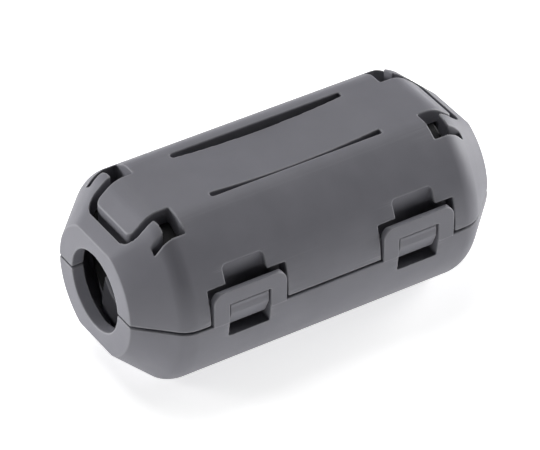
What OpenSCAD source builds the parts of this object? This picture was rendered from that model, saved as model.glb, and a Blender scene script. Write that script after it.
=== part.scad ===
// Clip-on ferrite bead: a round nylon case in two halves, hinged along its back,
// that closes over a cable and locks with two latch loops in front.
// Each half holds one half of a split ferrite core.
// X runs along the cable, Z = 0 is the parting plane, and -Y is the latch side.

/* [Case] */
// Length of the case along the cable
case_l = 25; // [24.5:0.5:30]
// Outside diameter of the round case
case_d = 13; // [12.8:0.1:15]
// Height between the top and bottom flats
case_h = 11.6; // [11.4:0.1:12]
// Diameter of each round end face
end_d = 8.1; // [7.8:0.1:8.8]
// Height of each end face between its flats
end_h = 7.2; // [7:0.1:8]
// Angle of the round end tapers to the cable axis
taper_deg = 44; // [40:1:50]
// Angle of the end tapers on the two flats
flat_taper_deg = 40; // [37:1:46]
// Radius that blends each taper into the sides
blend_r = 1.8; // [1.2:0.1:3]
// Thickness of the two end walls
end_wall = 0.8; // [0.6:0.05:1.2]
// Cable hole, through the end walls and the core alike
bore_d = 5.2; // [4.4:0.1:5.4]
// Open line between the rims of the two halves
parting_gap = 0.14; // [0.06:0.02:0.2]

/* [Ferrite core] */
// Length of the core
core_l = 20; // [18:0.5:20.5]
// Outside diameter of the core
core_d = 10; // [9.4:0.1:10]
// Small chamfer on the ends of each core half
core_chamfer = 0.2; // [0.1:0.05:0.4]
// Space between the core and the case around it
core_clear = 0.1; // [0.05:0.01:0.15]
// How far the chambers beyond the core stay wider than the cable hole
chamber_step = 1; // [0.8:0.1:1.2]

/* [Saddle ribs] */
// Thickness of the ribs that stop the core lengthwise
rib_t = 0.4; // [0.3:0.05:0.7]
// Half width of a lower rib at its foot
rib_foot_w = 3.1; // [2.8:0.1:3.4]
// Half width to which it narrows at the parting plane
rib_top_w = 2; // [1.6:0.1:2.4]

/* [Top spring strip] */
// Half length of the strip between the two slits
strip_half_l = 5.9; // [4:0.05:6.5]
// Half width of the strip
strip_half_w = 2; // [1.6:0.05:2.2]
// Width of each slit beside the strip
slit_w = 0.4; // [0.3:0.05:0.6]
// Radius of a slit's corners
slit_r = 0.1; // [0.05:0.01:0.14]
// How far the middle of the strip dips below the flat
strip_sag = 0.3; // [0.1:0.05:0.35]

/* [Spring tongues] */
// Distance from the middle of the case to a tongue's tip
tongue_tip = 11.2; // [11:0.05:11.4]
// Half width of a tongue
tongue_half_w = 1.97; // [1.6:0.01:2.1]
// Corner radius of a tongue's tip
tongue_r = 0.45; // [0.3:0.05:1]
// Width of the groove around a tongue
groove_w = 0.47; // [0.4:0.01:0.6]
// Thickness of the lip under a tongue's tip
lip_t = 0.4; // [0.3:0.05:0.6]
// How far that lip stays clear of the cable hole
lip_clear = 0.6; // [0.4:0.05:0.9]
// Wall left over the cable hole under these cuts
cut_wall = 0.3; // [0.2:0.05:0.4]
// Distance from the middle to the inner edge of a notch
notch_start = 8.6; // [8.3:0.05:9]
// Length of the notch between that edge and a finger's tip
notch_l = 1.2; // [0.9:0.05:1.4]
// Width of the finger beside a tongue
finger_w = 1; // [0.8:0.02:1.1]
// Radius of a finger's two corners
finger_r = 0.12; // [0.1:0.02:0.36]
// Width of the slot on a finger's outer side
slot_w = 0.46; // [0.3:0.02:0.5]
// Distance from the middle to the blind end of that slot
slot_end = 10.65; // [10.3:0.05:10.9]

/* [Latches] */
// Distance from the middle of the case to a latch's middle
latch_x = 5.85; // [5.6:0.05:6]
// Width of a latch loop
loop_w = 4.96; // [4.6:0.02:5.2]
// Height of a loop's top edge above the parting plane
loop_top = 2.18; // [2:0.02:2.3]
// How far a loop's top slopes down to its back, as a lead-in
loop_lead = 0.15; // [0.05:0.01:0.2]
// Thickness of a loop
loop_t = 0.45; // [0.35:0.01:0.5]
// Radius of a loop's two top corners
loop_r = 0.8; // [0.4:0.05:1]
// How far a loop's flat face stands proud of the round case
loop_proud = 0.05; // [0.02:0.01:0.1]
// Width of the window through a loop
window_w = 2.8; // [2.6:0.02:3]
// Height of the window's top edge above the parting plane
window_top = 1.16; // [1:0.02:1.36]
// Depth of the window's bottom edge below the parting plane
window_bottom = 1.26; // [1.1:0.01:1.5]
// Space between a hook and the window around it
hook_clear = 0.1; // [0.08:0.01:0.2]
// Space between a hook's catch and the top of the window
catch_clear = 0.08; // [0.03:0.01:0.12]
// How far a hook reaches below the parting plane
hook_below = 0.65; // [0.3:0.05:0.8]
// How far a hook's front stays inside the round of the case
hook_inset = 0.03; // [0:0.01:0.08]
// Height of the lead-in ramp on a hook's lower front
ramp_h = 0.98; // [0.6:0.02:1.1]
// Depth of that ramp
ramp_d = 0.42; // [0.2:0.02:0.5]
// Radius of a hook's lower corners
hook_r = 0.15; // [0.1:0.05:0.4]
// Space around a loop in its recess, at the sides
recess_clear = 0.15; // [0.1:0.01:0.25]
// Space above a loop in its recess
recess_top_clear = 0.16; // [0.12:0.01:0.3]
// Space behind a loop
recess_back_clear = 0.2; // [0.15:0.01:0.25]
// Width of the pry pocket above a loop
pry_w = 2.76; // [2:0.02:3]
// Height of the pry pocket's top above the parting plane
pry_top = 3.35; // [3:0.05:3.5]
// How deep the pry pocket and the recess below it are, behind a loop's back face
pry_depth = 0.65; // [0.5:0.05:0.85]
// Corner radius of the pry pocket
pry_r = 0.3; // [0.1:0.05:0.4]

/* [Hinge straps] */
// Distance from the middle of the case to a strap's middle
strap_x = 5.85; // [4.5:0.05:7]
// Width of a hinge strap
strap_w = 3; // [2:0.1:4]
// Thickness of a hinge strap
strap_t = 0.4; // [0.3:0.02:0.5]
// Half length of the strap's free middle part
strap_free = 1.3; // [1:0.05:1.6]
// Height over which a strap runs out into the case
strap_root = 1.2; // [0.8:0.05:1.6]
// Space between a strap and the pocket behind it
strap_back_clear = 0.5; // [0.3:0.05:0.55]
// Space beside a strap
strap_side_clear = 0.2; // [0.1:0.05:0.3]

/* [Hidden] */
$fn = 96;

nylon_grey = [0.45, 0.45, 0.47];
ferrite_black = [0.16, 0.16, 0.17];

case_r = case_d / 2;
half_l = case_l / 2;
half_h = case_h / 2;
bore_r = bore_d / 2;
core_r = core_d / 2;

// The core chamber, and the conical end chambers beyond it
chamber_r = core_r + core_clear;
chamber_x = core_l / 2 + core_clear;
inner_x = half_l - end_wall;
end_chamber_r = bore_r + chamber_step;

// Faces of the latch loops and hooks, as distances from the cable axis
loop_front = case_r + loop_proud;
loop_back = loop_front - loop_t;
recess_back = loop_back - recess_back_clear;
pry_back = loop_back - pry_depth;
hook_front = case_r - hook_inset;
hook_w = window_w - 2 * hook_clear;
hook_top = window_top - catch_clear;
recess_w = loop_w + 2 * recess_clear;
recess_top = loop_top + recess_top_clear;

// Plan of the cuts around each tongue, as distances from the axis
groove_side = tongue_half_w + groove_w;
slot_inner = groove_side + finger_w;
slot_outer = slot_inner + slot_w;
finger_tip = notch_start + notch_l;
// Lowest level that these cuts reach, beside the wall over the cable hole
cut_floor = bore_r - cut_wall;

// Outer face of a hinge strap, which is also the hinge line
strap_front = case_r + loop_proud;
strap_back = strap_front - strap_t;

// Larger than the case, for tools that cut right through
beyond = case_l;
// How far shapes that are joined or cut run past each other
overlap = 0.01;

// ---------- shapes that repeat ----------

// Half outline of a bar along the second axis, with its end tapered and blended.
// The first coordinate is the distance from the axis.
module tapered_half(full, tip, angle) {
    meet = half_l - (full - tip) / tan(angle);
    start = meet - blend_r * tan(angle / 2);
    centre = full - blend_r;
    end_of_arc = [centre + blend_r * cos(angle), start + blend_r * sin(angle)];
    polygon([[0, 0], [full, 0], [full, start], end_of_arc, [tip, half_l], [0, half_l]]);
    intersection() {
        translate([centre, start]) circle(r = blend_r);
        polygon([[centre, start], [full, start], [full, meet], end_of_arc]);
    }
}

// Rectangle with round corners, centred on the origin
module round_rect(w, h, r) {
    square([w - 2 * r, h], center = true);
    square([w, h - 2 * r], center = true);
    for (x = [-1, 1], y = [-1, 1])
        translate([x * (w / 2 - r), y * (h / 2 - r)]) circle(r = r);
}

// Turns a profile about the cable axis. Its first coordinate is the radius.
module turned() {
    rotate([0, 90, 0]) rotate_extrude() children();
}

// Runs an outline drawn in X and Z along Y, between two distances
module along_y(from, to) {
    translate([0, to, 0]) rotate([90, 0, 0]) linear_extrude(to - from) children();
}

// Runs a section drawn in Y and Z along X, centred, over a width
module along_x(width) {
    rotate([90, 0, 90]) linear_extrude(width, center = true) children();
}

// Repeats its children at both ends of the case
module both_ends() {
    for (side = [0, 1]) mirror([side, 0, 0]) children();
}

// ---------- the case as a whole ----------

// Round body with conical ends, cut by the tapered flats above and below
module case_outside() {
    intersection() {
        both_ends() turned() tapered_half(case_r, end_d / 2, taper_deg);
        along_y(-beyond, beyond) for (x = [0, 1], z = [0, 1])
            mirror([x, 0]) mirror([0, z]) mirror([1, -1])
                tapered_half(half_h, end_h / 2, flat_taper_deg);
    }
}

// Room for the core, the end chambers and the cable hole
module case_inside() {
    both_ends() turned() {
        polygon([
            [0, -overlap], [chamber_r, -overlap], [chamber_r, chamber_x],
            [end_chamber_r, inner_x], [0, inner_x]
        ]);
        square([bore_r, beyond]);
    }
}

// Saddle rib that stops the core, with the cable hole's round notch.
// Its sides lean from one half width at the parting plane to another at its foot.
module saddle_rib(top_w, foot_w) {
    translate([chamber_x + rib_t / 2, 0, 0]) along_x(rib_t)
        difference() {
            intersection() {
                polygon([
                    [-top_w, 0], [top_w, 0], [foot_w, chamber_r], [-foot_w, chamber_r]
                ]);
                circle(r = chamber_r);
            }
            circle(r = bore_r);
        }
}

// Keeps the part of its children above the parting line
module above_parting() {
    intersection() {
        children();
        translate([-beyond, -beyond, parting_gap / 2]) cube([2 * beyond, 2 * beyond, beyond]);
    }
}

// ---------- hinge straps ----------

// Upper half of a hinge strap, which meets the lower half on the hinge line
module strap_half() {
    for (x = [-strap_x, strap_x]) translate([x, 0, 0]) along_x(strap_w)
        difference() {
            polygon([
                [chamber_r + overlap, strap_free], [strap_back, strap_free], [strap_back, 0],
                [strap_front, 0], [strap_front, strap_free],
                [case_r * cos(asin((strap_free + strap_root) / case_r)), strap_free + strap_root],
                [chamber_r * cos(asin(strap_free / chamber_r)), strap_free + strap_root]
            ]);
            circle(r = chamber_r);
        }
}

// Pocket behind each strap, so that it is free to bend
module strap_pockets() {
    for (x = [-strap_x, strap_x])
        translate([x - strap_w / 2 - strap_side_clear, strap_back - strap_back_clear, -strap_free])
            cube([strap_w + 2 * strap_side_clear, beyond, 2 * strap_free]);
}

// ---------- upper case ----------

// Plan of the groove, notch and slots around one tongue, at the +X end.
// The tongue and the two fingers are what the cut leaves standing.
module tongue_cut_plan() {
    difference() {
        union() {
            intersection() {
                translate([tongue_tip + groove_w - beyond / 2, 0])
                    round_rect(beyond, 2 * groove_side, tongue_r + groove_w);
                translate([notch_start, -groove_side]) square([beyond, 2 * groove_side]);
            }
            translate([notch_start, -slot_outer])
                square([slot_end - notch_start, 2 * slot_outer]);
        }
        translate([tongue_tip - beyond / 2, 0])
            round_rect(beyond, 2 * tongue_half_w, tongue_r);
        for (side = [0, 1]) mirror([0, side])
            translate([finger_tip + beyond / 2, groove_side + finger_w / 2])
                round_rect(beyond, finger_w, finger_r);
    }
}

// Plan of one slit beside the spring strip
module slit_plan() {
    translate([0, strip_half_w + slit_w / 2])
        round_rect(2 * strip_half_l, slit_w, slit_r);
}

// Everything cut down through the top of the case
module top_cuts() {
    difference() {
        translate([0, 0, cut_floor]) linear_extrude(beyond) {
            both_ends() tongue_cut_plan();
            for (side = [0, 1]) mirror([0, side]) slit_plan();
        }
        along_x(beyond) circle(r = bore_r + cut_wall);
    }
    // The dip of the strip is part of one long cylinder across it
    dip_r = (strip_half_l ^ 2 + strip_sag ^ 2) / (2 * strip_sag);
    along_y(-strip_half_w - overlap, strip_half_w + overlap)
        translate([0, half_h - strip_sag + dip_r]) circle(r = dip_r, $fn = 720);
}

// Recess for a latch loop: shallow beside the hook, deep over the hook and loop,
// with the narrower pry pocket above
module latch_recess() {
    translate([-recess_w / 2, -beyond, -overlap])
        cube([recess_w, beyond - recess_back, recess_top + overlap]);
    translate([-recess_w / 2, -beyond, hook_top])
        cube([recess_w, beyond - pry_back, recess_top - hook_top]);
    along_y(-beyond, -pry_back)
        translate([0, (pry_top + window_top) / 2])
            round_rect(pry_w, pry_top - window_top, pry_r);
}

// Hook with a flat catch on top, a ramp on its lower front and small lower corners
module latch_hook() {
    intersection() {
        along_x(hook_w) polygon([
            [-chamber_r, parting_gap], [-pry_back, parting_gap],
            [-pry_back, -hook_below], [ramp_d - hook_front, -hook_below],
            [-hook_front, ramp_h - hook_below], [-hook_front, hook_top],
            [-chamber_r, hook_top]
        ]);
        along_y(-beyond, 0)
            translate([0, case_r - hook_below]) round_rect(hook_w, case_d, hook_r);
    }
}

// Lip that stiffens the tip of the tongue at the +X end
module tongue_lip() {
    intersection() {
        case_outside();
        translate([tongue_tip - lip_t, -tongue_half_w, bore_r + lip_clear])
            cube([lip_t, 2 * tongue_half_w, beyond]);
    }
}

module upper_case() {
    color(nylon_grey) {
        difference() {
            union() {
                difference() {
                    above_parting() case_outside();
                    case_inside();
                }
                both_ends() tongue_lip();
            }
            top_cuts();
            strap_pockets();
            for (x = [-latch_x, latch_x]) translate([x, 0, 0]) latch_recess();
        }
        for (x = [-latch_x, latch_x]) translate([x, 0, 0]) latch_hook();
        both_ends() above_parting() saddle_rib(tongue_half_w, tongue_half_w);
        strap_half();
    }
}

// ---------- lower case ----------

// Lower part of a latch window, cut through the wall below the parting plane
module window_foot() {
    translate([-window_w / 2, -beyond, -window_bottom]) cube([window_w, beyond, beyond]);
}

module lower_case() {
    color(nylon_grey) {
        difference() {
            mirror([0, 0, 1]) above_parting() case_outside();
            case_inside();
            strap_pockets();
            for (x = [-latch_x, latch_x]) translate([x, 0, 0]) window_foot();
        }
        mirror([0, 0, 1]) both_ends() above_parting() saddle_rib(rib_top_w, rib_foot_w);
        mirror([0, 0, 1]) strap_half();
    }
}

// ---------- latch loops ----------

// Loop that stands with its two legs on the rim of the lower case.
// Its top slopes down towards the back.
module latch_loop() {
    foot = -parting_gap / 2;
    color(nylon_grey) difference() {
        intersection() {
            along_y(-loop_front, -loop_back)
                translate([0, loop_top - case_r]) round_rect(loop_w, 2 * case_r, loop_r);
            along_x(loop_w) polygon([
                [-loop_front, foot], [-loop_back, foot],
                [-loop_back, loop_top - loop_lead], [-loop_front, loop_top]
            ]);
        }
        translate([-window_w / 2, -beyond, -beyond])
            cube([window_w, beyond, beyond + window_top]);
    }
}

module left_latch() {
    translate([-latch_x, 0, 0]) latch_loop();
}

module right_latch() {
    translate([latch_x, 0, 0]) latch_loop();
}

// ---------- ferrite core ----------

// Upper half of the split core
module core_half() {
    color(ferrite_black) intersection() {
        both_ends() turned() polygon([
            [bore_r, -overlap], [core_r, -overlap],
            [core_r, core_l / 2 - core_chamfer], [core_r - core_chamfer, core_l / 2],
            [bore_r, core_l / 2]
        ]);
        translate([-beyond, -beyond, 0]) cube([2 * beyond, 2 * beyond, beyond]);
    }
}

module upper_ferrite() {
    core_half();
}

module lower_ferrite() {
    mirror([0, 0, 1]) core_half();
}

lower_case();
upper_case();
lower_ferrite();
upper_ferrite();
left_latch();
right_latch();
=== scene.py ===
# %% [markdown]
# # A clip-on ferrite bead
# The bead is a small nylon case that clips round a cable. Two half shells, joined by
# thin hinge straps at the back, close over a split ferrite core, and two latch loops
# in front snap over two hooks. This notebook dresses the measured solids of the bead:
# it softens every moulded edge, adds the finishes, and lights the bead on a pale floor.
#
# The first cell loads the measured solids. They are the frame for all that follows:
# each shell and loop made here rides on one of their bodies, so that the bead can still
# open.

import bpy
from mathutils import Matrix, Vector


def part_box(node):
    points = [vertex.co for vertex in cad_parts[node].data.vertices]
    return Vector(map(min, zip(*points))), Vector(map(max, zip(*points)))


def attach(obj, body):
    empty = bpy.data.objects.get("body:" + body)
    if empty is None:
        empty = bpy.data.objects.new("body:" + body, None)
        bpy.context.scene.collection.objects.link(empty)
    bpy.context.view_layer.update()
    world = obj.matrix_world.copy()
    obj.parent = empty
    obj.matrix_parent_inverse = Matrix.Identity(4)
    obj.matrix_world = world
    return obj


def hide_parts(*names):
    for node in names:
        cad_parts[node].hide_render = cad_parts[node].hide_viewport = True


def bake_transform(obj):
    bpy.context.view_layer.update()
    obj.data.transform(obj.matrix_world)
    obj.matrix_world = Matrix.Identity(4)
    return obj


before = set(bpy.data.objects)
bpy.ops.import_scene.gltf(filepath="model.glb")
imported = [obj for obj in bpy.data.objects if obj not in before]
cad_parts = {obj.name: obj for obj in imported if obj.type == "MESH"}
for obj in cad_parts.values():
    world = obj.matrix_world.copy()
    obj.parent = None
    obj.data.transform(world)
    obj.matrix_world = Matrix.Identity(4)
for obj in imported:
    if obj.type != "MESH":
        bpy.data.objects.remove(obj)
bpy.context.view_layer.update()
print("nodes:", sorted(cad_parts))

# %% [markdown]
# ## Units
# Blender counts in metres, but a part this small is easier to think of in millimetres,
# so lengths are written in millimetres and multiplied by MM where Blender needs them.
# The main sizes aren't typed in again. They are read from the lower half's own box, so
# they follow the solids. Rounding removes the last trace of the change of units.

# %% Units and main sizes
import math

import bmesh
import bpy
import numpy as np
from mathutils import Matrix, Vector

MM = 0.001
low_corner, high_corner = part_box("lower_case")
HALF_L = round(high_corner.x / MM, 3)   # from the middle of the case to an end face
HALF_H = round(-low_corner.z / MM, 3)   # from the middle to the bottom flat
CASE_R = round(-low_corner.y / MM, 3)   # radius of the round case
print("half length", HALF_L, "half height", HALF_H, "radius", CASE_R, "mm")

# %% [markdown]
# ## Camera
# A long lens from well back keeps the bead's edges nearly parallel, so that its
# proportions show truly. A camera could be placed by coordinates and three angles of
# its own, but those say little to a reader. Here it stands as if on an arm instead:
# the arm starts at the point to aim at, is turned and raised, and is as long as the
# distance. Each step is one matrix, and their product is the camera's place and turn.

# %% Camera
TURN = 32.385        # degrees from the bead's front round to its left end
RAISE = 37.223       # degrees above level
ROLL = 0.175         # degrees about the line of sight
DISTANCE = 242.46    # from the point to aim at to the camera
AIM = Vector((-0.352, 0.096, -0.142))   # from the middle of the case
FOCAL_LENGTH = 271.77   # of the long lens

camera = bpy.data.objects.new("camera", bpy.data.cameras.new("camera"))
bpy.context.scene.collection.objects.link(camera)
camera.matrix_world = (
    Matrix.Translation(AIM * MM)
    @ Matrix.Rotation(math.radians(-TURN), 4, "Z")
    @ Matrix.Rotation(math.radians(90 - RAISE), 4, "X")
    @ Matrix.Rotation(math.radians(ROLL), 4, "Z")
    @ Matrix.Translation((0, 0, DISTANCE * MM))
)
camera.data.sensor_width = 36
camera.data.lens = FOCAL_LENGTH
camera.data.clip_start = 0.01
bpy.context.scene.camera = camera
stand = camera.matrix_world.translation / MM
print("camera stands at", [round(v, 1) for v in stand], "mm")

# %% [markdown]
# ## White paper
# The bead lies on a pale, matte sheet. The sheet also glows a little, like a table lit
# from below. A white table throws back so much light that the bead's underside reads
# lighter than its flank. A lamp under the floor could give that light too, but a glow
# in the finish needs no gap in the floor, and the bead's shadow stays on the sheet.
#
# In Blender a material is a tree of nodes that ends in a shader. The helper below
# starts one and hands over its tree and its shader, which each finish then sets.

# %% White paper
def node_material(name):
    """A new material with its node tree and its shader, ready for more nodes."""
    material = bpy.data.materials.new(name)
    material.use_nodes = True
    tree = material.node_tree
    return material, tree, tree.nodes["Principled BSDF"]


PAPER_GLOW = 0.66    # strength of the glow, where 1 would look pure white by itself

paper, _, shader = node_material("white paper")
shader.inputs["Base Color"].default_value = (0.87, 0.87, 0.87, 1)
shader.inputs["Roughness"].default_value = 0.9
shader.inputs["Emission Color"].default_value = (1, 1, 1, 1)
shader.inputs["Emission Strength"].default_value = PAPER_GLOW
print(paper.name, "glows at", PAPER_GLOW)

# %% [markdown]
# ## Floor
# The sheet is one square face, far larger than what the camera sees, so that its edges
# never show. A curved backdrop could do the same, but a flat floor is enough from above.

# %% Floor
FLOOR_REACH = 3.0    # metres from the middle to each edge of the floor

floor_level = low_corner.z
floor_mesh = bpy.data.meshes.new("floor")
floor_mesh.from_pydata([
    (-FLOOR_REACH, -FLOOR_REACH, 0), (FLOOR_REACH, -FLOOR_REACH, 0),
    (FLOOR_REACH, FLOOR_REACH, 0), (-FLOOR_REACH, FLOOR_REACH, 0),
], [], [(0, 1, 2, 3)])
floor_mesh.materials.append(paper)
floor = bpy.data.objects.new("floor", floor_mesh)
floor.location.z = floor_level
bpy.context.scene.collection.objects.link(floor)
print("floor at", round(floor_level / MM, 2), "mm")

# %% [markdown]
# ## Softboxes
# A studio could light the bead with one bright sky, but then all sides would look alike.
# Three softboxes, which are square area lamps, shape it instead. One hangs overhead and
# a little behind, one stands low behind the left end, and one beyond the right end. The
# left one faces the end wall but only grazes the cone beside it, so that the two part
# clearly in tone. No softbox stands on the viewer's side, which keeps the flank darker
# than the top.

# %% Softboxes
def hang(lamp, place, target=(0, 0, 0)):
    """Puts a lamp at a place in metres and turns it to face a target."""
    holder = bpy.data.objects.new(lamp.name, lamp)
    holder.location = place
    direction = Vector(target) - Vector(place)
    holder.rotation_euler = direction.to_track_quat("-Z", "Y").to_euler()
    bpy.context.scene.collection.objects.link(holder)


# name, place in metres, side in metres and power in watts
SOFTBOXES = (
    ("overhead softbox", (0.0, 0.16, 0.38), 0.30, 0.99),
    ("left softbox", (-0.32, 0.26, 0.05), 0.14, 1.40),
    ("right softbox", (0.40, 0.0, 0.09), 0.24, 1.84),
)

for name, place, size, power in SOFTBOXES:
    softbox = bpy.data.lights.new(name, "AREA")
    softbox.shape = "SQUARE"
    softbox.size = size
    softbox.energy = power
    hang(softbox, place)
    print(name, "gives", power, "W from a square of", size, "m")

# %% [markdown]
# ## Snoot
# A narrow lamp, as with a tube or snoot in front of it, looks into the cable hole and
# picks out the rib that holds the core. A softbox could reach in there too, but it
# would brighten the whole end as well. A spot lamp whose beam is little more than one
# degree wide lights the hole and little else.

# %% Snoot
SNOOT_FROM_HOLE = Vector((-100, -90, 115))   # where the snoot stands, from the hole
BEAM = math.radians(1.3)                     # how wide its beam spreads

hole = Vector((-HALF_L, 0, 0)) * MM
snoot = bpy.data.lights.new("snoot", "SPOT")
snoot.energy = 0.75
snoot.spot_size = BEAM
snoot.spot_blend = 1.0
snoot.shadow_soft_size = 0.002
hang(snoot, hole + SNOOT_FROM_HOLE * MM, hole)
beam_width = 2 * SNOOT_FROM_HOLE.length * math.tan(BEAM / 2)
print("the snoot's beam is", round(beam_width, 1), "mm wide at the hole")

# %% [markdown]
# ## Dark room, white background
# The room gives the bead almost no light, but it looks white to the camera. A white wall
# could stand behind the bead instead, but it would light the bead too. Is Camera Ray is
# 1 for what the camera sees directly and 0 elsewhere, so it sets two levels for one sky.
#
# Two more helpers keep chains of nodes short to read: one adds a node with its options
# and inputs set, and one maps a value onto a range.

# %% World
def add_node(tree, kind, inputs=None, **settings):
    """Adds one node, sets its options by name and its inputs by name or number."""
    node = tree.nodes.new(kind)
    for key, value in settings.items():
        setattr(node, key, value)
    for key, value in (inputs or {}).items():
        node.inputs[key].default_value = value
    return node


def between(tree, fac, low, high):
    """Maps a value that runs from 0 to 1 onto the range low to high."""
    node = add_node(tree, "ShaderNodeMapRange", {"To Min": low, "To Max": high})
    tree.links.new(fac, node.inputs["Value"])
    return node.outputs["Result"]


ROOM_LIGHT = 0.03    # the room's level for the bead, where the camera sees 1

world = bpy.data.worlds.new("studio")
world.use_nodes = True
bpy.context.scene.world = world
sky_tree = world.node_tree
sky = sky_tree.nodes["Background"]
sky.inputs["Color"].default_value = (1, 1, 1, 1)
seen_directly = add_node(sky_tree, "ShaderNodeLightPath").outputs["Is Camera Ray"]
brightness = between(sky_tree, seen_directly, ROOM_LIGHT, 1.0)
sky_tree.links.new(brightness, sky.inputs["Strength"])
bpy.context.scene.view_settings.view_transform = "Standard"
print("the room's light on the bead is", ROOM_LIGHT, "and the background's is 1")

# %% [markdown]
# ## Satin grey nylon
# The case is moulded nylon. Its skin is satin, with a grain far finer than the eye
# picks out, a slight waviness where the walls shrank in the mould, and a painted
# highlight that makes its edges a little paler. A painted image could hold all this,
# but noise has no seams and stays sharp close up. Three noises at three scales make
# the tone, the grain and the waves.
#
# A noise has to know where on the bead it is. Texture coordinates count in metres, so
# they are scaled to millimetres first.

# %% Nylon noises
def in_millimetres(tree):
    """Texture coordinates that count in millimetres along the bead."""
    place = add_node(tree, "ShaderNodeTexCoord")
    scale = add_node(tree, "ShaderNodeVectorMath", {"Scale": 1 / MM}, operation="SCALE")
    tree.links.new(place.outputs["Object"], scale.inputs[0])
    return scale.outputs[0]


def noise(tree, where, scale, detail=2.0, roughness=0.5):
    """A noise whose features are about 1/scale millimetres across."""
    node = add_node(tree, "ShaderNodeTexNoise",
                    {"Scale": scale, "Detail": detail, "Roughness": roughness})
    tree.links.new(where, node.inputs["Vector"])
    return node.outputs["Fac"]


nylon, tree, shader = node_material("satin grey nylon")
where = in_millimetres(tree)
cloud = noise(tree, where, 0.35, detail=3)
grain = noise(tree, where, 14, detail=3, roughness=0.6)
wave = noise(tree, where, 0.5, detail=1)
print("the nylon has", len(tree.nodes), "nodes so far")

# %% [markdown]
# ### Tone and painted edge highlights
# The first noise drifts between two close greys. The edges get a painted highlight: a
# paler grey where a rounded edge would catch the light. It could follow Blender's
# Pointiness, but on fine meshes that gives speckles. The mouldings below carry a mark of
# their own instead, called "edge", that says how strongly the skin curves outward at
# each point, and the painted highlight follows that mark. About a third of the paler
# grey at most is mixed in.
#
# A Mix node has many hidden inputs, so they are picked by number: 0 is how much is
# mixed, 6 and 7 are the two colours, and output 2 is the mixed colour.

# %% Nylon tone and wear
def two_tones(tree, fac, dark_at, dark, light_at, light):
    """Blends between a dark and a light colour as a value rises."""
    node = add_node(tree, "ShaderNodeValToRGB")
    for element, at, colour in zip(node.color_ramp.elements, (dark_at, light_at),
                                   (dark, light)):
        element.position = at
        element.color = (*colour, 1)
    tree.links.new(fac, node.inputs[0])
    return node.outputs[0]


# The paler grey on sharp edges is a painted highlight.
MOST_EDGE_HIGHLIGHT = 0.35     # how much of the paler grey is mixed in on a sharp edge

tint = two_tones(tree, cloud, 0.30, (0.178, 0.177, 0.201), 0.70, (0.195, 0.194, 0.219))
edge_mark = add_node(tree, "ShaderNodeAttribute", attribute_name="edge")
# Painted highlight: the more sharply an edge curves outward, the more paler grey it gets.
edge_highlight = between(tree, edge_mark.outputs["Fac"], 0.0, MOST_EDGE_HIGHLIGHT)
paler = add_node(tree, "ShaderNodeMix", data_type="RGBA")
tree.links.new(edge_highlight, paler.inputs[0])
tree.links.new(tint, paler.inputs[6])
paler.inputs[7].default_value = (0.36, 0.36, 0.375, 1)
tree.links.new(paler.outputs[2], shader.inputs["Base Color"])
print("worn edges take up to", MOST_EDGE_HIGHLIGHT, "of the paler grey")

# %% [markdown]
# ### Grain and waves
# The other two noises are relief. Moving the mesh itself would need millions of points
# for a grain this fine. A bump leaves the mesh alone and only changes how the light
# falls on it. The grain also sets how satin the skin is from spot to spot.

# %% Nylon relief
def relief(tree, height, depth_mm, below=None):
    """A bump of a depth in millimetres, on top of another bump where one is given."""
    node = add_node(tree, "ShaderNodeBump", {"Strength": 1.0, "Distance": depth_mm * MM})
    tree.links.new(height, node.inputs["Height"])
    if below is not None:
        tree.links.new(below, node.inputs["Normal"])
    return node.outputs["Normal"]


tree.links.new(between(tree, grain, 0.44, 0.60), shader.inputs["Roughness"])
bumps = relief(tree, grain, 0.004, relief(tree, wave, 0.05))
tree.links.new(bumps, shader.inputs["Normal"])
shader.inputs["Specular IOR Level"].default_value = 0.4
print("nylon:", len(tree.nodes), "nodes")

# %% [markdown]
# ## Sintered ferrite
# The core is pressed from iron oxide powder and fired, which leaves a dull, nearly
# black ceramic with fine pits and paler specks. A noise alone would look like cloud, so
# a Voronoi texture, which is made of cells, gives the grains, and the noise only the
# soot-like tone. The core halves have plain faces with small chamfers, as pressed
# ceramic has, so the measured solids are shown as they are.

# %% Ferrite
ferrite, tree, shader = node_material("sintered ferrite")
where = in_millimetres(tree)
grains = add_node(tree, "ShaderNodeTexVoronoi", {"Scale": 9.0})
tree.links.new(where, grains.inputs["Vector"])
soot = noise(tree, where, 2.2, detail=5, roughness=0.65)

fired = two_tones(tree, soot, 0.35, (0.030, 0.030, 0.032), 0.75, (0.062, 0.061, 0.063))
tree.links.new(fired, shader.inputs["Base Color"])
tree.links.new(between(tree, soot, 0.58, 0.80), shader.inputs["Roughness"])
shader.inputs["Specular IOR Level"].default_value = 0.3
bumps = relief(tree, soot, 0.012, relief(tree, grains.outputs["Distance"], 0.010))
tree.links.new(bumps, shader.inputs["Normal"])
print("ferrite:", len(tree.nodes), "nodes")

for name in ("lower_ferrite", "upper_ferrite"):
    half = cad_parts[name]
    half.data.materials.clear()
    half.data.materials.append(ferrite)
    print(name, "shows", half.data.materials[0].name)

# %% [markdown]
# ## Copies of the measured solids
# The mouldings could be drawn anew, but then their sizes might drift from the solids.
# They start as copies instead, because the solids themselves stay as they are. The
# faces of a solid come apart at their seams when it is loaded, so the copy's seams are
# welded first.
#
# The copies are worked on in millimetres, because Blender's smallest cube for the next
# step is 0.1 mm when the scene counts in metres. They are scaled back at the end.

# %% Welded copies
def welded_copy(node_name):
    """A CAD node's mesh in millimetres, with the seams between its faces welded."""
    mesh = bmesh.new()
    mesh.from_mesh(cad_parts[node_name].data)
    bmesh.ops.transform(mesh, matrix=Matrix.Scale(1 / MM, 4), verts=mesh.verts)
    bmesh.ops.remove_doubles(mesh, verts=mesh.verts, dist=1e-4)
    return mesh


for name in ("lower_case", "upper_case"):
    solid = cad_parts[name].data
    welded = welded_copy(name)
    print(name, "goes from", len(solid.vertices), "to", len(welded.verts), "points")
    welded.free()


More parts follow.
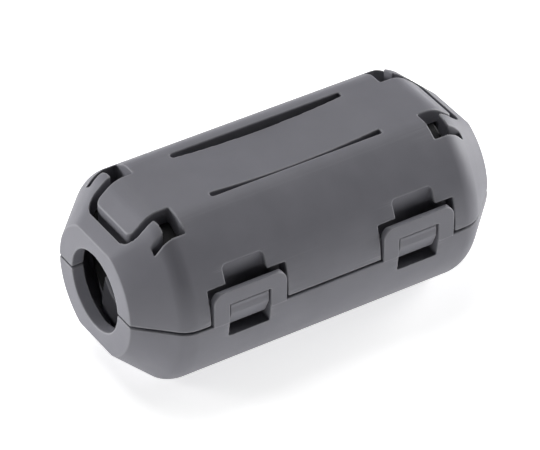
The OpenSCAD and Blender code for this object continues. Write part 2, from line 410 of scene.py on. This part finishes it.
# %% [markdown]
# ## The case's true form
# The case is a round bar with conical ends, cut flat above and below, and a curve
# blends each taper into the sides. A measured solid only comes near this form, because
# it arrives as flat facets. The form could be read off those facets, but the main
# sizes and five more give it exactly, so it is written as a formula for later steps.

# %% True form
END_R = 4.05         # radius of the round end faces
TAPER = 44           # angle of the round end tapers, in degrees
END_HALF_H = 3.6     # half the height of the end faces
FLAT_TAPER = 40      # angle of the flats' end tapers, in degrees
BLEND_R = 1.8        # radius that blends each taper into the sides


def tapered(x, full, tip, degrees):
    """Half the size of a tapered bar at distances x from its middle, in millimetres.

    It is full in the middle and tip at the ends, with a blend where the taper starts.
    """
    slope = math.radians(degrees)
    meet = HALF_L - (full - tip) / math.tan(slope)
    start = meet - BLEND_R * math.tan(slope / 2)
    arc_end = start + BLEND_R * math.sin(slope)
    x = np.abs(x)
    arc = full - BLEND_R + np.sqrt(np.clip(BLEND_R ** 2 - (x - start) ** 2, 0, None))
    cone = tip + (HALF_L - x) * math.tan(slope)
    return np.where(x < start, full, np.where(x < arc_end, arc, cone))


def round_radius(x):
    """The true radius of the round skin at distances x from the middle."""
    return tapered(x, CASE_R, END_R, TAPER)


profile = [float(r) for r in round_radius(np.array([0, 9, 11, HALF_L]))]
print("radius at 0, 9, 11 and", HALF_L, "mm:", [round(r, 2) for r in profile])

# %% [markdown]
# ## Truing up the round skin
# A remesh keeps the facets of the solid: under a grazing light the round case would
# show long stripes. Finer facets would only make the stripes narrower. So every point
# of the round skin is moved to its true radius instead. Only points that lie near that
# radius and face outwards are moved. Cuts, rims and inner walls stay where they are.
#
# The cell tries the helper on one point at the very front, a little inside the skin.

# %% Round skin
SKIN_DEPTH = 0.035   # how far from the true form a point of the skin may lie
SKIN_FADE = 0.015    # the part of that over which the move fades out
FACING = 0.96        # how well a point must face outwards, where 1 is straight out
FACING_FADE = 0.03   # the range over which the move fades in


def onto_round_skin(x, y, z, normals):
    """Moves the points of the round skin to their true radius."""
    nx, ny, nz = normals.T
    step = 0.01
    slant = (round_radius(x + step) - round_radius(x - step)) / (2 * step)
    radius = np.hypot(y, z)
    outward = ((ny * y + nz * z) / radius - nx * slant) / np.sqrt(1 + slant ** 2)
    off = np.abs(round_radius(x) - radius)
    weight = np.clip((outward - FACING) / FACING_FADE, 0, 1)
    weight *= np.clip((SKIN_DEPTH - off) / SKIN_FADE, 0, 1)
    grow = 1 + weight * (round_radius(x) / radius - 1)
    return y * grow, z * grow, int((weight > 0.5).sum())


front = (np.zeros(1), np.array([0.02 - CASE_R]), np.zeros(1))
moved_y, _, _ = onto_round_skin(*front, normals=np.array([[0.0, -1.0, 0.0]]))
print("a point at", round(front[1].item(), 3), "mm moves to", round(moved_y.item(), 3))

# %% [markdown]
# ## Blending the creases
# Four long creases part the round sides from the flats, and a moulding has no crease so
# sharp. A bevel would need one clean edge to follow, which a remeshed skin doesn't have.
# So in each cross-section an arc touches the flat and the circle, and what stands
# outside the arc is pulled in onto it. The cell tries this on one point of a crease.

# %% Crease blend
CREASE_R = 2.0       # radius of the crease blend along the middle
CREASE_END_R = 1.0   # radius of the crease blend at the end faces
CREASE_FROM = 9.5    # distance from the middle at which it starts to shrink


def blend_creases(x, y, z):
    """Pulls the creases between the round sides and the flats in to a round blend."""
    blend = np.interp(np.abs(x), (CREASE_FROM, HALF_L), (CREASE_R, CREASE_END_R))
    mid_z = tapered(x, HALF_H, END_HALF_H, FLAT_TAPER) - blend
    mid_y = np.sqrt(np.clip((round_radius(x) - blend) ** 2 - mid_z ** 2, 0, None))
    off_y, off_z = np.abs(y) - mid_y, np.abs(z) - mid_z
    reach = np.hypot(off_y, off_z)
    outside = (reach > blend) & (off_y > 0) & (off_y * mid_z < off_z * mid_y)
    pull = np.where(outside, blend / np.maximum(reach, 1e-6), 1)
    y = np.where(outside, np.sign(y) * (mid_y + off_y * pull), y)
    z = np.where(outside, np.sign(z) * (mid_z + off_z * pull), z)
    return y, z, int(outside.sum())


crease_y = math.sqrt(CASE_R ** 2 - HALF_H ** 2)
new_y, new_z, _ = blend_creases(np.zeros(1), np.array([crease_y]), np.array([HALF_H]))
pulled_in = math.hypot(crease_y - new_y.item(), HALF_H - new_z.item())
print("a point on the crease is pulled in by", round(pulled_in, 3), "mm")

# %% [markdown]
# ## Both steps on a whole mesh
# Points could be moved one by one in a loop, but a shell has several hundred thousand.
# Blender can hand over all of them at once as one array of numbers, the two steps work
# on the whole array, and Blender takes it back.

# %% Truing up
def read_points(data, what):
    """The mesh's points ("co") or their directions ("normal"), one row for each."""
    values = np.empty(len(data.vertices) * 3, np.float32)
    data.vertices.foreach_get(what, values)
    return values.reshape(-1, 3)


def true_up(made):
    """Gives the outer skin of a shell in millimetres its true, unfaceted form."""
    data = made.data
    x, old_y, old_z = read_points(data, "co").T
    y, z, trued = onto_round_skin(x, old_y, old_z, read_points(data, "normal"))
    y, z, blended = blend_creases(x, y, z)
    places = np.stack([x, y, z], 1).astype(np.float32)
    data.vertices.foreach_set("co", places.ravel())
    data.update()
    farthest = round(float(np.hypot(y - old_y, z - old_z).max()), 3)
    print(made.name, "trued up at", trued, "points and blended at", blended)
    print("no point of", made.name, "moved more than", farthest, "mm")


# %% [markdown]
# ## Marking the edges
# How strongly the skin curves outward can be read from the mesh itself. For two
# neighbouring points, the step between them against the first one's normal tells how
# far the surface falls away, and divided by the step's length squared it is half of
# one over the radius. The mean over a point's neighbours, smoothed three times, is
# stored with each point as a value from 0, nearly flat, to 1, a sharp outer edge. Such
# a mark could be painted by hand, but a measured one follows every change of shape.

# %% Edge marks
def mark_edges(made, sharp, blunt):
    """Stores how strongly the skin curves outward at each point, from 0 to 1.

    sharp and blunt are the radii in millimetres that count as 1 and as 0.
    """
    data = made.data
    places, normals = read_points(data, "co"), read_points(data, "normal")
    pairs = np.empty(len(data.edges) * 2, np.int64)
    data.edges.foreach_get("vertices", pairs)
    pairs = pairs.reshape(-1, 2)
    here, there = np.concatenate([pairs, pairs[:, ::-1]]).T
    step = places[here] - places[there]
    bend = (normals[here] * step).sum(1) / np.maximum((step ** 2).sum(1), 1e-6)
    count = np.maximum(np.bincount(here, minlength=len(places)), 1)
    curve = np.bincount(here, bend, len(places)) / count
    for _ in range(3):
        around = np.bincount(here, curve[there], len(places)) / count
        curve = 0.5 * (curve + around)
    low, high = 0.5 / blunt, 0.5 / sharp
    edge = np.clip((curve - low) / (high - low), 0, 1)
    mark = data.attributes.new("edge", "FLOAT", "POINT")
    mark.data.foreach_set("value", edge.astype(np.float32))
    print(made.name, "has", int((edge > 0.5).sum()), "points on sharp edges")


# %% [markdown]
# ## Softening the mouldings
# The measured solids have edges as sharp as a drawing, while a moulding tool leaves a
# small radius on every one, and it is these radii that catch the light. A bevel would
# have to find its way round hundreds of small corners. Rebuilding the skin on a fine
# grid of cubes (a voxel remesh) and then relaxing it rounds all edges alike, outer and
# inner. Smaller cubes and fewer rounds of relaxing give a smaller radius. At the end,
# a decimate step takes points away from the plain faces, where they show nothing.

# %% Softening
def apply_modifiers(made):
    """Replaces an object's mesh by what its modifiers make of it."""
    bpy.context.view_layer.update()
    graph = bpy.context.evaluated_depsgraph_get()
    done = bpy.data.meshes.new_from_object(made.evaluated_get(graph))
    made.modifiers.clear()
    made.data = done


def dress_in_nylon(made):
    """Gives an object smooth shading and the nylon finish, and counts its triangles."""
    made.data.materials.clear()
    made.data.materials.append(nylon)
    made.data.polygons.foreach_set("use_smooth", [True] * len(made.data.polygons))
    made.data.calc_loop_triangles()
    print(made.name, "has", len(made.data.loop_triangles), "triangles")


def soften(made, cube, relax, keep, finishing=None):
    """Rounds all the edges of an object in millimetres, then scales it to metres."""
    skin = made.modifiers.new("skin", "REMESH")
    skin.mode = "VOXEL"
    skin.voxel_size = cube
    relaxed = made.modifiers.new("relaxed", "SMOOTH")
    relaxed.factor = 0.5
    relaxed.iterations = relax
    apply_modifiers(made)
    if finishing:
        finishing(made)
    fewer = made.modifiers.new("fewer", "DECIMATE")
    fewer.ratio = keep
    apply_modifiers(made)
    mark_edges(made, sharp=0.25, blunt=1.5)
    made.data.transform(Matrix.Scale(MM, 4))
    dress_in_nylon(made)


# %% [markdown]
# ## Gaps for the straps
# The free middle of each hinge strap is cut away from the shells, because the straps
# bend and are made as pieces of their own. Deleting faces by hand would leave holes to
# close. A boolean cut leaves a closed skin, which the remesh needs. The straps lie
# straight behind the loops, so a loop's own box says where they are.

# %% Strap gaps
loop_low, loop_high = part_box("right_latch")
STRAP_X = round((loop_low.x + loop_high.x) / 2 / MM, 3)   # straight behind a loop
STRAP_W = 3.0        # width of a strap
STRAP_FREE = 1.3     # half length of a strap's free middle part
GAP_Y = 6.6          # from the middle of the case to the middle of the cut
GAP_DEPTH = 1.2      # how deep the cut is from front to back
GAP_EXTRA = 0.2      # how much wider the cut is than a strap


def to_object(mesh, name):
    """Turns a bmesh into an object of that name in the scene."""
    data = bpy.data.meshes.new(name)
    mesh.to_mesh(data)
    mesh.free()
    made = bpy.data.objects.new(name, data)
    bpy.context.scene.collection.objects.link(made)
    return made


def without_straps(made):
    """Cuts the straps' free middles away from a shell in millimetres."""
    gap = bmesh.new()
    for side in (-1, 1):
        middle = Matrix.Translation((side * STRAP_X, GAP_Y, 0))
        size = Matrix.Diagonal((STRAP_W + GAP_EXTRA, GAP_DEPTH, 2 * STRAP_FREE, 1))
        bmesh.ops.create_cube(gap, size=1, matrix=middle @ size)
    cutter = to_object(gap, "strap gap")
    cut = made.modifiers.new("strap gap", "BOOLEAN")
    cut.operation = "DIFFERENCE"
    cut.solver = "EXACT"
    cut.object = cutter
    apply_modifiers(made)
    bpy.data.objects.remove(cutter)


print("straps stand", STRAP_X, "mm to the left and right of the middle")

# %% [markdown]
# ## The two shells
# Each shell is its measured solid with softened edges. A shell could also be built from
# scratch as a thin wall, but all its slots, hooks and recesses would have to be built
# again. The order matters here: the gaps are cut first, so that their rims are rounded
# too, and the skin is trued up after the rounding, which would spoil it.

# %% Shells
for shell_name, body in (("lower_case", "base"), ("upper_case", "lid")):
    shell = to_object(welded_copy(shell_name), "moulded_" + shell_name)
    without_straps(shell)
    soften(shell, cube=0.06, relax=3, keep=0.25, finishing=true_up)
    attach(shell, body)
    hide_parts(shell_name)

# %% [markdown]
# ## Latch loops
# Each loop is one moulding with the lower shell and springs out over its hook. Its two
# feet are sunk a little into the shell's rim, so that no rounded seam shows there. A
# loop could be joined to the shell's mesh, but then it couldn't spring out by itself.
# The loops are thin, so their cubes are smaller and their edges stay crisper.

# %% Loops
FOOT_SINK = 0.1      # how far a loop's feet reach into the lower shell
FOOT_TOL = 0.001     # how far above the lowest point a foot's corner may lie

for loop_name, body in (("left_latch", "left_loop"), ("right_latch", "right_loop")):
    mesh = welded_copy(loop_name)
    foot = min(v.co.z for v in mesh.verts)
    for v in mesh.verts:
        if v.co.z < foot + FOOT_TOL:
            v.co.z = foot - FOOT_SINK
    loop = to_object(mesh, "moulded_" + loop_name)
    soften(loop, cube=0.036, relax=3, keep=0.6)
    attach(loop, body)
    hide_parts(loop_name)

# %% [markdown]
# ## Hinge straps
# Two thin straps of the same nylon join the shells at the back. Each is drawn as a flat
# ribbon with rounded edges; the real strap bends when the bead opens. It could be left
# as two stubs, one on each shell, but they would tear apart or cross each other when the
# lid swings round. So it is one piece, drawn as one ring of points per station and joined
# ring to ring.
#
# The first cell draws one ring, the ribbon's cross-section.

# %% Strap section
STRAP_T = 0.4        # thickness of a strap
STRAP_EDGE_R = 0.12  # radius of a strap's edges
RIBBON_EXTRA = 0.02  # how much wider the ribbon is than the solid's strap


def ribbon_ring(width, thickness, radius, steps=4):
    """A rounded rectangle, as (across, depth) points, with its front at depth 0."""
    ring = []
    for sx, sy, first in ((1, -1, 0), (1, 1, 90), (-1, 1, 180), (-1, -1, 270)):
        for step in range(steps + 1):
            turn = math.radians(first - 90 + 90 * step / steps)
            ring.append((
                sx * (width / 2 - radius) + radius * math.cos(turn),
                sy * (thickness / 2 - radius) + radius * math.sin(turn) + thickness / 2,
            ))
    return ring


section = ribbon_ring(STRAP_W + RIBBON_EXTRA, STRAP_T, STRAP_EDGE_R)
print("a ring of the ribbon has", len(section), "points")

# %% [markdown]
# ### The way a strap runs
# Over its free middle a strap's outer face is straight. Above and below it dives under
# the shells' round skin, so that its ends never show. It could stop square on the skin
# instead, but each end would then stand there as a small step.

# %% Strap course
STRAP_PROUD = 0.01   # how far the ribbon stands out from the solid's strap
STRAP_OUT = round(high_corner.y / MM, 3) + STRAP_PROUD   # its outer face, from the middle
DIVE = 1.25          # height over which a strap dives into a shell
DIVE_DEPTH = 0.12    # how deep under the skin it ends


def strap_front(z):
    """How far out a strap's outer face lies at a height, in millimetres."""
    skin = math.sqrt(CASE_R ** 2 - z ** 2)
    dive = min(1, max(0, (abs(z) - STRAP_FREE) / DIVE))
    return STRAP_OUT + (skin - DIVE_DEPTH - STRAP_OUT) * dive


for z in (0, STRAP_FREE, STRAP_FREE + DIVE):
    print("at height", z, "mm the face is", round(strap_front(z), 2), "mm from the middle")

# %% [markdown]
# ### Ribbons
# Each strap is a row of rings along its course, joined ring to ring and closed at
# both ends, and it is dressed in the same nylon.

# %% Straps
STRAP_TOP = 2.6      # half length of a strap with its hidden ends
STATIONS = 53        # rings of points along a strap

for side, strap_name in ((-1, "left_strap"), (1, "right_strap")):
    mesh = bmesh.new()
    rings = []
    for station in range(STATIONS):
        z = -STRAP_TOP + 2 * STRAP_TOP * station / (STATIONS - 1)
        rings.append([
            mesh.verts.new((side * STRAP_X + across, strap_front(z) - depth, z))
            for across, depth in section
        ])
    for low, high in zip(rings, rings[1:]):
        for i in range(len(section)):
            j = (i + 1) % len(section)
            mesh.faces.new((low[i], low[j], high[j], high[i]))
    mesh.faces.new(rings[0])
    mesh.faces.new(reversed(rings[-1]))
    bmesh.ops.recalc_face_normals(mesh, faces=mesh.faces)
    strap = to_object(mesh, strap_name)
    strap.data.transform(Matrix.Scale(MM, 4))
    dress_in_nylon(strap)
    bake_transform(strap)
